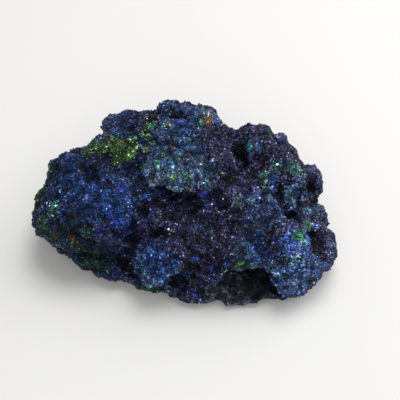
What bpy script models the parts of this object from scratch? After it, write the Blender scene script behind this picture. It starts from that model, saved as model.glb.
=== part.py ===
"""Azurite specimen: one loose lump of crusty azurite with malachite, about 107 mm long.

The lump is built up as it looks: rounded masses and squarer blocks are fused into one body,
hollows and clefts are cut out of it, its skin is pushed out into nodules and crystal facets,
and its underside is levelled where it rests. X is the long way, -Y is the side with the
cave, +Z is up. The origin is at the middle of the box around the lump, on the surface that
it rests on.
"""

import math

import bmesh
import bpy
import numpy as np
from mathutils import Euler, Matrix, Vector, noise

NAME = "azurite_specimen"
MM = 0.001

# Driving dimensions, in millimetres.
BALL_STEPS = 4  # subdivisions of the ball that each mass starts as
FUSE_VOXEL = 0.8  # cell of the remesh that fuses the masses
JOINT_SOFTENING = 3  # rounds of smoothing where masses meet
ROUNDNESS = 2.0  # the squareness of an ellipsoid
SQUARENESS = 4.0  # the more, the nearer the blocks are to boxes
ARCHED = 1.4  # the less, the straighter the cave's roof slopes down from its top
REST_CUT = 3.0  # how much of the underside is levelled off
BLOCK_UNDER_CUT = 100.0  # half-size of the block that levels it, larger than the lump
FULLER = 0.35  # the skin is moved out this far, to make up for its creases
SWELLING = (16.0, 0.8, 1.0)  # length and height of the slow swells of the skin, seed
# Nodules of the crust: distance between them, how far they stand out, seed.
NODULES = ((8.5, 0.8, 1.0), (4.6, 1.0, 5.0))
# Angular lumps of crystal: size, how far they stand out, depth of the creases, seed.
CLUSTERS = ((7.0, 0.9, 0.9, 2.0), (4.4, 0.5, 0.4, 8.0))
NODULE_REACH = 0.8  # a nodule's radius, as a share of the distance between nodules
NODULE_ROUNDNESS = 1.6  # 1 would make the nodules cones, 2 makes them domes
CREASE_WIDTH = 0.22  # as a share of the lump's size
CELLS_PER_LUMP = 7.3  # fine enough that two lumps never share one level
DRIFT_GAIN = 1.6  # brings the noise to about -1 to 1
MOST_TRIANGLES = 9300

# Finish.
AZURITE_BLUE = (0.025, 0.035, 0.085)
AZURITE_ROUGHNESS = 0.45

# Rounded masses: centre, half-sizes and turn (degrees about X, Y and Z).
MASSES = {
    "core": ((2, 5, 13), (36, 25, 14), (0, 0, 0)),
    "base": ((3, 0, 4), (38, 25, 6), (0, 0, 0)),
    "base_right": ((22, -13, 3), (20, 13, 5), (0, 0, 0)),
    "left_boulder": ((-29, -4, 18), (22, 16, 14), (14, 0, 10)),
    "left_crown": ((-33, 4, 23), (14, 12, 10), (0, 0, 0)),
    "left_end": ((-42, 0, 14), (11.5, 13, 13), (0, 0, 0)),
    "left_shoulder": ((-36, 9.5, 20.5), (13.5, 9.5, 12), (0, -5, 20)),
    "left_low_lump": ((-41.5, -10.5, 6.5), (4, 4, 4), (0, 0, 0)),
    "left_skirt": ((-26, -12.4, 6), (18, 11, 6), (0, 0, -22)),
    "front_skirt": ((-8, -20, 6), (20, 9, 6), (0, 0, -12)),
    "cave_lip": ((13, -25, 3), (20, 9, 4), (0, 0, 0)),
    "basin_slope": ((3, -11, 13), (24, 19, 10), (-30, 0, 0)),
    "basin_left_boss": ((-12, -10, 20), (6, 6, 5), (0, 0, 0)),
    "basin_middle_boss": ((2, -15, 18), (8, 6, 5), (0, 0, 0)),
    "basin_right_boss": ((14, -10, 21), (9, 7, 6), (0, 0, 0)),
    "basin_upper_boss": ((20, -2, 26), (8, 7, 5), (0, 0, 0)),
    "basin_top": ((-5, -8, 19), (10, 6, 6), (0, 0, 0)),
    "cap_foot": ((-20, 8, 25), (8, 7, 6), (0, 0, 0)),
    "slab_lip": ((1, 1, 31), (13, 7, 4), (20, 12, -12)),
    "back_knob": ((-4.7, 31, 29), (6, 6, 8), (0, 0, 0)),
    "back_ridge": ((5, 28.6, 29.2), (9, 7, 8), (0, 0, -20)),
    "back_ridge_hump": ((0.5, 29.5, 34.3), (5, 4.5, 3.6), (0, 0, 0)),
    "back_ridge_end": ((10.7, 22.6, 29.6), (6, 6, 6.5), (0, 0, 0)),
    "back_wall": ((-3, 24, 14), (31, 14, 13), (0, 0, 0)),
    "back_left_wall": ((-21, 22, 16), (10, 9, 12), (0, 0, 0)),
    "right_slope": ((13, 11.5, 25.5), (14, 14, 12), (0, 18, 0)),
    "right_lobe": ((29.6, 12.8, 21.8), (13.5, 12.8, 12.4), (0, 0, -35)),
    "right_lobe_crown": ((26, 17, 29), (9, 8, 8), (0, 0, 0)),
    "right_lobe_front": ((29, 3, 19), (12, 10, 11), (0, 0, 0)),
    "right_lobe_end": ((33.5, 16, 24), (6.2, 6.2, 6.2), (0, 0, 0)),
    "right_lobe_brow": ((40, 4, 24), (6, 6, 6), (0, 0, 0)),
    "right_wall": ((40, 1, 11), (9, 14, 11), (0, 0, 0)),
    "right_lobe_rim": ((31.2, 17.5, 32.2), (4, 3.5, 3), (0, 0, 0)),
    "right_lobe_corner": ((34.3, 17, 31.8), (2.8, 2.8, 2.8), (0, 0, 0)),
    "right_knob": ((46, 8, 19), (4.5, 6, 8), (0, 0, 0)),
    "right_back_knob": ((47, -2, 13), (4, 5, 7), (0, 0, 0)),
    "right_foot": ((38, -15, 11), (14, 14, 12), (0, 0, 25)),
    "right_foot_crown": ((37, -16, 17), (10, 10, 9), (-20, 0, 20)),
    "right_foot_front": ((38.6, -23.8, 6), (9.4, 6.6, 7), (0, 0, 35)),
    "right_toe": ((48.8, -14, 7.5), (5, 7.5, 7), (0, 0, 0)),
    "cave_brow": ((21, -17, 15), (14, 10.5, 7), (-15, 0, 0)),
    "cave_left_haunch": ((11, -23, 12), (5, 8, 5), (0, -15, 0)),
    "cave_right_haunch": ((33.5, -23, 13.5), (6, 9, 5), (0, 20, 0)),
    "cave_right_jamb": ((36.5, -24, 11), (6, 8, 9), (0, 0, 0)),
    "blue_boss": ((-8, -21.8, 14), (9, 8.5, 9.2), (0, 0, 0)),
}

# Squarer masses: centre, half-sizes and turn.
BLOCKS = {
    "slab": ((-1, 11.5, 31.3), (18, 12, 5.5), (26, 10, -14)),
    "slab_corner": ((-8.5, 3, 31.5), (6.5, 6, 4), (26, 4, -10)),
    "green_cap": ((-21, 16, 31), (12, 5, 5), (15, -6, -6)),
    "back_left_block": ((-19.7, 31, 20.5), (11, 7, 8.8), (6, 2, 8)),
    "back_left_hump": ((-14.5, 30, 22.5), (5.5, 5, 6), (0, 0, 20)),
    "lobe_block": ((24, 12.5, 34.5), (3.0, 3.0, 2.8), (20, 15, 40)),
    "cave_sill": ((24, -22.3, 1.4), (12, 7.6, 2.9), (0, 0, 6)),
}

# Hollows cut out of the body: centre, half-sizes and turn.
HOLLOWS = {
    "cave_floor": ((23.5, -28, 7.1), (10.8, 11, 2.7), (3, 7, 0)),
    "slab_recess": ((-1, 1.5, 27.4), (8.5, 7.5, 2.4), (6, 6, -8)),
    "right_fissure": ((37.8, -10.5, 22), (1.7, 5.5, 8), (0, 0, 15)),
    "slope_cleft": ((20.2, 8, 35), (2, 6.5, 7), (0, 0, 8)),
    "ridge_notch": ((17.5, 20, 38.6), (3.2, 8, 2.6), (0, -15, 0)),
    "right_pocket": ((47.2, -18, 20.5), (4.2, 6.5, 5.2), (15, 10, -20)),
    "plate_notch": ((53.5, -12.5, 16), (4.2, 3, 6), (0, 0, 0)),
    "boss_gap": ((-18.5, -22, 12), (3.4, 6.5, 5), (0, 0, 10)),
    "boss_undercut": ((-0.5, -29.5, 9.0), (3.7, 4, 2.1), (0, 15, 0)),
    "left_undercut": ((-32, -21, 13), (16, 6, 2.2), (-25, 0, -18)),
    "boulder_dip": ((-32, 2, 35), (3, 6, 6), (0, 0, 25)),
    "basin_pit": ((-12.5, -9.5, 26.5), (2.2, 2.6, 4.5), (0, 0, 0)),
    "basin_low_pit": ((-8, -16, 22), (2.5, 2.5, 4), (0, 0, 0)),
    "basin_front_pit": ((10.7, -22.4, 17.5), (2, 2.4, 3.5), (0, 0, 0)),
    "basin_middle_pit": ((12.9, -8.4, 26), (2.2, 1.8, 3.5), (0, 0, 0)),
    "basin_right_pit": ((29.9, -15.6, 22.5), (1.8, 1.6, 3), (0, 0, 0)),
    "boulder_seam": ((-17, -16.5, 18), (1.4, 5, 5), (0, 0, -5)),
    "knob_crease": ((45, 3, 25), (1.4, 4.5, 5.5), (0, 0, 0)),
    "lobe_crease": ((33.5, -2, 26), (1.5, 5, 4.5), (0, 0, 5)),
}

# The cave's arch: centre, half-sizes and turn.
CAVE_ARCH = ((22.5, -26, 10.0), (11.2, 15, 4.7), (6, 7, 0))


def add_mass(bm, centre, half_sizes, turn, squareness=ROUNDNESS):
    """An ellipsoid, or a box with rounded edges, or with less squareness a rounded diamond.

    Each point of a unit ball is pushed out until |x|^s + |y|^s + |z|^s is 1.
    """
    turn = Euler([math.radians(a) for a in turn]).to_matrix().to_4x4()
    place = Matrix.Translation(Vector(centre) * MM) @ turn
    made = bmesh.ops.create_icosphere(bm, subdivisions=BALL_STEPS, radius=1.0)["verts"]
    for vert in made:
        reach = sum(abs(c) ** squareness for c in vert.co) ** (-1.0 / squareness)
        vert.co = Vector(c * reach * h * MM for c, h in zip(vert.co, half_sizes))
    bmesh.ops.transform(bm, matrix=place, verts=made)


def new_object(name, bm):
    mesh = bpy.data.meshes.new(name)
    bm.to_mesh(mesh)
    bm.free()
    made = bpy.data.objects.new(name, mesh)
    bpy.context.scene.collection.objects.link(made)
    return made


def apply_modifiers(made):
    """Replaces the object's mesh with what its modifiers make of it."""
    graph = bpy.context.evaluated_depsgraph_get()
    made.data = bpy.data.meshes.new_from_object(made.evaluated_get(graph))
    made.modifiers.clear()


def fuse(made):
    """Makes one skin around all the masses and softens the joints between them."""
    remesh = made.modifiers.new("fuse", "REMESH")
    remesh.mode = "VOXEL"
    remesh.voxel_size = FUSE_VOXEL * MM
    soften = made.modifiers.new("soften", "SMOOTH")
    soften.iterations = JOINT_SOFTENING
    soften.factor = 0.5
    apply_modifiers(made)


def subtract(made, shapes):
    """Cuts each named shape out of the object."""
    cutters = []
    for name, bm in shapes.items():
        cutter = new_object(name + "_cutter", bm)
        cutter.hide_render = True
        cutter.display_type = "WIRE"
        cut = made.modifiers.new(name, "BOOLEAN")
        cut.operation = "DIFFERENCE"
        cut.object = cutter
        cutters.append(cutter)
    apply_modifiers(made)
    for cutter in cutters:
        bpy.data.objects.remove(cutter)


def cut_hollows(made):
    shapes = {}
    for name, (centre, half_sizes, turn) in HOLLOWS.items():
        shapes[name] = bmesh.new()
        add_mass(shapes[name], centre, half_sizes, turn)
    shapes["cave_arch"] = bmesh.new()
    add_mass(shapes["cave_arch"], *CAVE_ARCH, ARCHED)
    subtract(made, shapes)


def coordinates(mesh, kind="co"):
    values = np.empty(len(mesh.vertices) * 3, np.float32)
    mesh.vertices.foreach_get(kind, values)
    return values.reshape(-1, 3).astype(float)


def drift(points, wave, seed):
    """Smooth change from about -1 to 1, with swells of the given length."""
    shift = Vector((-seed, 2.3 * seed, 1.7 * seed))
    return DRIFT_GAIN * np.array([noise.noise(Vector(p / wave) + shift) for p in points])


def nodule_height(points, spacing, seed):
    """Height from -0.5 to 0.5 of round nodules whose centres are strewn through space.

    It is half at a nodule's centre and falls by (distance / NODULE_REACH) ^ NODULE_ROUNDNESS.
    """
    heights = np.empty(len(points))
    shift = Vector((seed, 3.7 * seed, -1.9 * seed))
    for i, point in enumerate(points):
        distances, _ = noise.voronoi(Vector(point / spacing) + shift)
        heights[i] = 0.5 - min(1.0, distances[0] / NODULE_REACH) ** NODULE_ROUNDNESS
    return heights


def cluster_height(points, size, rise, crease, seed):
    """Height of angular lumps: each has its own level, with a crease where two meet."""
    heights = np.empty(len(points))
    shift = Vector((2.1 * seed, -seed, 1.3 * seed))
    for i, point in enumerate(points):
        distances, centres = noise.voronoi(Vector(point / size) + shift)
        level = noise.cell(centres[0] * CELLS_PER_LUMP) - 0.5
        away = min(1.0, (distances[1] - distances[0]) / CREASE_WIDTH)
        heights[i] = rise * level - crease * (1.0 - away) ** 2
    return heights


def roughen(made):
    """Pushes the skin out into swells, nodules and angular lumps."""
    mesh = made.data
    points = coordinates(mesh) / MM
    normals = coordinates(mesh, "normal")
    swell, rise, seed = SWELLING
    height = FULLER + rise * drift(points, swell, seed)
    for spacing, rise, seed in NODULES:
        # The nodules fade in and out over patches twice as long as their spacing.
        patchy = np.clip(0.65 + 0.6 * drift(points, 2 * spacing, seed), 0.1, 1.2)
        height += rise * patchy * nodule_height(points, spacing, seed)
    for size, rise, crease, seed in CLUSTERS:
        height += cluster_height(points, size, rise, crease, seed)
    moved = points + normals * height[:, None]
    mesh.vertices.foreach_set("co", (moved * MM).astype(np.float32).ravel())
    mesh.update()


def thin_out(made):
    made.data.calc_loop_triangles()
    thin = made.modifiers.new("thin_out", "DECIMATE")
    thin.ratio = MOST_TRIANGLES / len(made.data.loop_triangles)
    thin.use_collapse_triangulate = True
    apply_modifiers(made)


def level_underside(made):
    """Cuts the lowest points off flat and sets the lump down on the cut, about the origin."""
    points = coordinates(made.data)
    low = points.min(axis=0)
    high = points.max(axis=0)
    level = low[2] + REST_CUT * MM
    bm = bmesh.new()
    block = bmesh.ops.create_cube(bm, size=2 * BLOCK_UNDER_CUT * MM)["verts"]
    bmesh.ops.translate(bm, verts=block, vec=(0, 0, level - BLOCK_UNDER_CUT * MM))
    subtract(made, {"underside": bm})
    middle = (low + high) / 2
    made.data.transform(Matrix.Translation((-middle[0], -middle[1], -level)))


def azurite():
    """Deep blue, nearly black where it is thick, with a dull crystalline shine."""
    material = bpy.data.materials.new("azurite")
    material.use_nodes = True
    shader = material.node_tree.nodes["Principled BSDF"]
    shader.inputs["Base Color"].default_value = (*AZURITE_BLUE, 1.0)
    shader.inputs["Roughness"].default_value = AZURITE_ROUGHNESS
    shader.inputs["Metallic"].default_value = 0.0
    return material


def build():
    for old in list(bpy.data.objects):
        bpy.data.objects.remove(old)
    bm = bmesh.new()
    for centre, half_sizes, turn in MASSES.values():
        add_mass(bm, centre, half_sizes, turn)
    for centre, half_sizes, turn in BLOCKS.values():
        add_mass(bm, centre, half_sizes, turn, SQUARENESS)
    rock = new_object(NAME, bm)
    fuse(rock)
    cut_hollows(rock)
    fuse(rock)
    roughen(rock)
    thin_out(rock)
    level_underside(rock)
    rock.data.materials.append(azurite())


build()
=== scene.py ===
"""Azurite specimen: the looks of a loose lump of azurite druse with malachite crusts.

The solid's surface is made again as a fine skin with small nodules, and the minerals grow on
it: wedge-shaped azurite crystals nearly all over, rounded grains on the green and powdery
blue patches, and rusty grains of iron oxide on a few spots.
"""

import math
from itertools import chain

import bmesh
import bpy
import numpy as np
from bpy.props import FloatProperty, FloatVectorProperty, IntProperty, PointerProperty
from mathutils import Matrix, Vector
from mathutils.bvhtree import BVHTree


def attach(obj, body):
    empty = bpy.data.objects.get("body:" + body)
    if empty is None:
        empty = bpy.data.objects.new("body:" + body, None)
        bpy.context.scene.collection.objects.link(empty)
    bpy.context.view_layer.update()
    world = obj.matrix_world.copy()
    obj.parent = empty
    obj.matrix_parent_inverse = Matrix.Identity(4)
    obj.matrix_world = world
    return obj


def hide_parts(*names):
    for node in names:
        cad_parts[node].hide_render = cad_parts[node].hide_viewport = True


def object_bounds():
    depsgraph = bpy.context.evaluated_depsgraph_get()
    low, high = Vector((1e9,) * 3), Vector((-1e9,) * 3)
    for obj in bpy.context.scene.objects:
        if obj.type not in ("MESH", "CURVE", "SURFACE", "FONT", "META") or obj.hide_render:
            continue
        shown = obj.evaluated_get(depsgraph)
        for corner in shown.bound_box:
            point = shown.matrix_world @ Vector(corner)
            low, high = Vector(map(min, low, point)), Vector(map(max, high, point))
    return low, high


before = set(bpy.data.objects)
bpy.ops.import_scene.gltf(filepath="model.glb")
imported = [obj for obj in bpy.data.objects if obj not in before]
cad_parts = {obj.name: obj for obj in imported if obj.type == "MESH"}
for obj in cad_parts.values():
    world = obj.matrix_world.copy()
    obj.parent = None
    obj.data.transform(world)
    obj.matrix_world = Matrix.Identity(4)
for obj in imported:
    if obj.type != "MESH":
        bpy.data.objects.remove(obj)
CAD_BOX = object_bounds()

bl_info = {
    "name": "Azurite specimen",
    "version": (1, 0, 0),
    "blender": (4, 5, 0),
    "location": "3D View > Sidebar > Azurite",
    "description": "Grows the skin, crystals and crusts of an azurite specimen on its solid",
    "category": "Add Mesh",
}

SOLID = "azurite_specimen"
SKIN = "azurite_skin"
MM = 0.001

# The camera: the point that it and the lights face, its height over the level, lens.
AIM = Vector((0.00549, -0.00290, 0.01943))
CAMERA_HEIGHT_ANGLE = math.radians(50)
CAMERA_DISTANCE = 0.330
LENS = 85.0
SENSOR = 36.0
FRAME_UNITS = 400

# The stage: light from the right at the back, from above and from the front.
FLOOR_REACH = 1.5
PAPER = (0.82, 0.82, 0.815, 1)
PAPER_ROUGHNESS = 0.9
PAPER_IOR = 1.2
DAYLIGHT = (1.0, 0.99, 0.98)
LAMPLIGHT = (1.0, 0.995, 0.985)
LIGHTS = {  # place, side of the square, power, colour
    "window": ((0.57, 0.26, 0.31), 0.85, 3.35, DAYLIGHT),
    "overhead": ((0.10, 0.20, 0.70), 0.4, 2.7, LAMPLIGHT),
    "front": ((0.0, -0.50, 0.45), 0.5, 1.2, LAMPLIGHT),
}
ROOM_COLOUR = (1.0, 0.99, 0.96, 1)
ROOM_STRENGTH = 0.34

# The numbers that the noise scrambles its cells with, and the bits that are left of them.
CELL_FACTORS = (73856093, 19349663, 83492791)
SEED_FACTOR = 2654435761
SCRAMBLES = ((15, 2246822519), (13, 3266489917))  # shift, factor
LAST_SHIFT = 16
LOW_BITS = 0xFFFFFF

# The skin.
WELD = 0.001 * MM  # corners of the solid nearer than this are one
SKIN_ROUNDS = 3  # rounds of smoothing that even out the new faces
DOME_WIDTH = 1.3  # the more, the narrower the nodules
DOME_LEVEL = 0.3  # the part of a nodule that lies under the skin's own level
CHAFE_WAVE = 0.6  # the finest unevenness, in millimetres
CHAFE_RISE = 0.15 * MM
CALM_RISE = 0.6  # how high the nodules stand on calm ground, as a share of the druse's
SMOOTH_RISE = 0.15  # and in the cave
BORDER_ROUNDS = 6  # rounds of smoothing between these
HOLLOW_ROUNDS = 10  # rounds of smoothing that tell humps from hollows
HOLLOW_LEVEL = 0.35  # how hollow a level face counts
HOLLOW_DEPTH = 0.6 * MM
UNDER_DRUSE = 0.7  # the skin's lightness beside that of the crystals on it

# What grows on it.
UNDERSIDE = -0.9  # faces whose normals point further down than this grow nothing
PALE = 0.18  # crystals and grains of a lighter colour than this, the painted glints and chalky crusts alike, are smaller
PALE_SIZE = 0.76
STEEP = 0.8  # an axis that points further up than this takes its sides from X, not from Z
CRYSTAL_SPREAD = 0.28  # of the logarithm of the size
CRYSTAL_WIDTHS = (0.45, 0.85)  # shares of the length
CRYSTAL_HEIGHTS = (0.6, 1.4)  # shares of the usual height
CRYSTAL_RIDGES = (0.35, 0.9)  # shares of the length
CRYSTAL_SINK = 0.35  # the part of its height that a crystal also reaches into the skin
GRAIN_SPREAD = 0.3
GRAIN_SIZES = (0.5, 1.5)  # least and most, as shares of the usual size
GRAIN_SQUASH = (0.7, 1.1)
GRAIN_LEAN = math.radians(30)
GRAIN_LIFT = 0.15  # a grain's middle is this share of its size above the skin

# The finish of all minerals.
MINERAL_GLOSS = 0.2
NOISE_DETAIL = 3.0
NOISE_SPAN = (0.3, 0.7)  # the stretch of the noise that changes the polish
BUMP_DEPTH = 0.05 * MM

# How the colours are strewn. Waves are in millimetres, each with its share of the noise.
GROUND_WAVES = ((11.0, 1.0), (4.0, 0.35))
GROUND = "violet_druse"
GROUND_ABOVE = {"navy_druse": 0.30, "steel_crust": 0.62}  # where the noise is above the level
GROUND_BELOW = {"blue_druse": -0.62}
SPECK = "royal"
SPECK_WAVE = 3.2
SPECK_LEVEL = 0.72
SPECK_GROUND = 0.1  # specks keep to where the ground's noise is below this
RAGGED_WAVES = ((2.6, 0.28), (6.0, 0.18))
PATCH_FADE = (0.75, 1.25)  # a patch thins out between these shares of its radius
CLUMP_WAVE = 1.7
CLUMP_GAIN = 0.55
CLUMP_SHARE = 0.26  # how much of the choice of a colour is the noise's; chance has the rest
TINT_SPREAD = 0.74  # of the logarithm of the lightness
TINT_LIFT = 0.06
# Painted light and shade: every colour is made lighter on open humps by OPEN_LIGHT and darker in
# hollows by HOLLOW_SHADE, within SHADE_LIMITS.
OPEN_LIGHT = 1.15
HOLLOW_SHADE = 1.4  # how much darker the painted shade makes hollows
SHADE_LIMITS = (0.35, 1.25)

# Each mineral finish is a mix of colours from the panel, with their shares. Where the clumps
# of the noise are strong, the first of them lie in its troughs and the last on its crests.
MIXES = dict(
    # Azurite druse
    violet_druse=dict(night_violet=0.25, dusk_violet=0.39, grey_violet=0.3, painted_glint=0.06),
    basin_druse=dict(night_violet=0.52, dusk_violet=0.3, grey_violet=0.15, painted_glint=0.03),
    violet_sheen=dict(night_violet=0.22, dusk_violet=0.34, plum=0.12, grey_violet=0.27, painted_glint=0.05),
    violet_grey=dict(dusk_violet=0.45, night_violet=0.3, grey_violet=0.25),
    navy_druse=dict(navy=0.35, deep_navy=0.46, blue=0.15, steel_blue=0.03, painted_glint=0.01),
    dusk_navy=dict(deep_navy=0.45, navy=0.3, dusk_violet=0.2, steel_blue=0.05),
    blue_druse=dict(navy=0.34, blue=0.34, royal_blue=0.12, steel_blue=0.14, painted_glint=0.06),
    boss_blue=dict(
        deep_navy=0.14, navy=0.3, steel_blue=0.18, cobalt=0.3, grey_teal=0.04, pale_sky=0.04),
    block_blue=dict(steel_blue=0.44, slate_blue=0.24, cobalt=0.1, grey_teal=0.16, pale_sky=0.06),
    # Clear blues
    royal=dict(royal_blue=0.55, cobalt=0.25, navy=0.2),
    royal_pale=dict(royal_blue=0.35, blue=0.25, cobalt=0.2, pale_sky=0.08, navy=0.12),
    royal_sky=dict(cobalt=0.3, steel_blue=0.28, navy=0.22, pale_sky=0.2),
    cobalt_crust=dict(royal_blue=0.22, cobalt=0.58, pale_sky=0.2),
    cobalt_pale=dict(pale_sky=0.4, cobalt=0.45, painted_glint=0.15),
    sky=dict(steel_blue=0.4, pale_sky=0.4, pale_aqua=0.2),
    sky_grey=dict(slate_blue=0.3, pale_sky=0.3, grey_teal=0.3, pale_aqua=0.1),
    plum=dict(plum=0.55, navy=0.25, royal_blue=0.2),
    lavender=dict(dusk_violet=0.35, lavender_blue=0.4, slate_blue=0.25),
    lavender_grey=dict(slate_blue=0.35, lavender_blue=0.3, grey_violet=0.25, painted_glint=0.1),
    lavender_pale=dict(lavender_blue=0.4, slate_blue=0.3, painted_glint=0.3),
    # Weathered blues
    slate=dict(deep_navy=0.08, slate_blue=0.5, grey_violet=0.3, steel_blue=0.12),
    slate_green=dict(slate_blue=0.35, grey_teal=0.25, deep_green=0.3, deep_teal=0.1),
    slate_teal=dict(deep_navy=0.2, slate_blue=0.36, steel_blue=0.28, grey_teal=0.16),
    steel_slate=dict(slate_blue=0.35, deep_navy=0.25, steel_blue=0.3, pale_sky=0.1),
    slab_blue=dict(navy=0.32, slate_blue=0.28, steel_blue=0.27, grey_teal=0.09, painted_glint=0.04),
    steel_crust=dict(
        deep_teal=0.12, steel_blue=0.36, slate_blue=0.18, grey_teal=0.18, pale_aqua=0.08,
        painted_glint=0.08),
    teal_shade=dict(deep_teal=0.6, steel_blue=0.25, grey_teal=0.15),
    mottled_blue=dict(
        navy=0.12, steel_blue=0.18, cobalt=0.2, slate_blue=0.12, lavender_blue=0.16,
        grey_teal=0.05, pale_sky=0.17),
    mottled_lavender=dict(lavender_blue=0.35, slate_blue=0.3, steel_blue=0.2, pale_sky=0.15),
    grey_crust=dict(grey_teal=0.4, slate_blue=0.3, painted_glint=0.3),
    pale_edge=dict(steel_blue=0.3, pale_aqua=0.35, painted_glint=0.35),
    middle_blue=dict(
        slate_blue=0.18, grey_violet=0.06, royal_blue=0.05, steel_blue=0.1, lavender_blue=0.48,
        pale_sky=0.13),
    # Malachite
    moss=dict(deep_green=0.52, olive=0.04, deep_teal=0.2, leaf_green=0.18, grey_teal=0.06),
    white_specks=dict(deep_teal=0.34, navy=0.2, pale_aqua=0.2, white_crust=0.26),
    pale_arc=dict(pale_aqua=0.45, sea_green=0.15, grey_teal=0.3, painted_glint=0.1),
    moss_pale=dict(leaf_green=0.4, deep_green=0.3, yellow_green=0.3),
    malachite=dict(
        deep_green=0.38, leaf_green=0.32, olive=0.08, yellow_green=0.13, pale_green=0.09),
    malachite_pale=dict(yellow_green=0.36, pale_green=0.3, leaf_green=0.34),
    deep_malachite=dict(deep_green=0.6, leaf_green=0.4),
    olive=dict(olive=0.55, deep_green=0.2, yellow_green=0.25),
    olive_shade=dict(night_violet=0.5, olive=0.5),
    green=dict(leaf_green=0.42, sea_green=0.5, pale_green=0.08),
    sea_specks=dict(deep_teal=0.3, sea_green=0.22, grey_teal=0.26, pale_aqua=0.14, painted_glint=0.08),
    sea=dict(deep_teal=0.3, sea_green=0.3, leaf_green=0.15, grey_teal=0.25),
    mint=dict(sea_green=0.38, pale_aqua=0.52, white_crust=0.1),
    mint_green=dict(sea_green=0.45, pale_aqua=0.3, pale_green=0.25),
    # Iron oxide
    rust=dict(rust_brown=0.2, rust_orange=0.44, pale_tan=0.36),
    rust_speck=dict(rust_brown=0.4, rust_orange=0.6),
    ochre=dict(ochre=0.45, rust_brown=0.2, deep_green=0.35),
    maroon=dict(maroon=0.7, night_violet=0.3),
    # Painted shade for creases, clefts and overhangs (shade_green with some moss green in it), and
    # the cave's lining
    shade=dict(night_violet=0.55, black_blue=0.45),
    shade_violet=dict(night_violet=0.5, dusk_violet=0.34, grey_violet=0.16),
    shade_green=dict(
        black_blue=0.12, deep_navy=0.27, deep_green=0.28, dusk_violet=0.24, slate_blue=0.09),
    cave=dict(soot=1.0),
    cave_floor=dict(soot=0.15, dusk_violet=0.3, ash=0.55),
)
# The mixes that are rounded grains instead of crystals.
GRAINY = (
    "malachite", "malachite_pale", "deep_malachite", "olive", "green", "mint", "mint_green",
    "rust", "rust_speck", "ochre", "cobalt_crust", "cobalt_pale")
# The mixes that lie on calm ground, where the nodules are low.
CALM = (
    "navy_druse", "blue_druse", "dusk_navy", "slate", "slate_green", "slate_teal", "steel_slate",
    "slab_blue", "steel_crust", "teal_shade", "block_blue", "cobalt_crust", "cobalt_pale",
    "shade_green", "mottled_lavender")
# The mixes of the cave's lining, which is nearly smooth and grows nothing.
SMOOTH = ("cave", "cave_floor")
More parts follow.
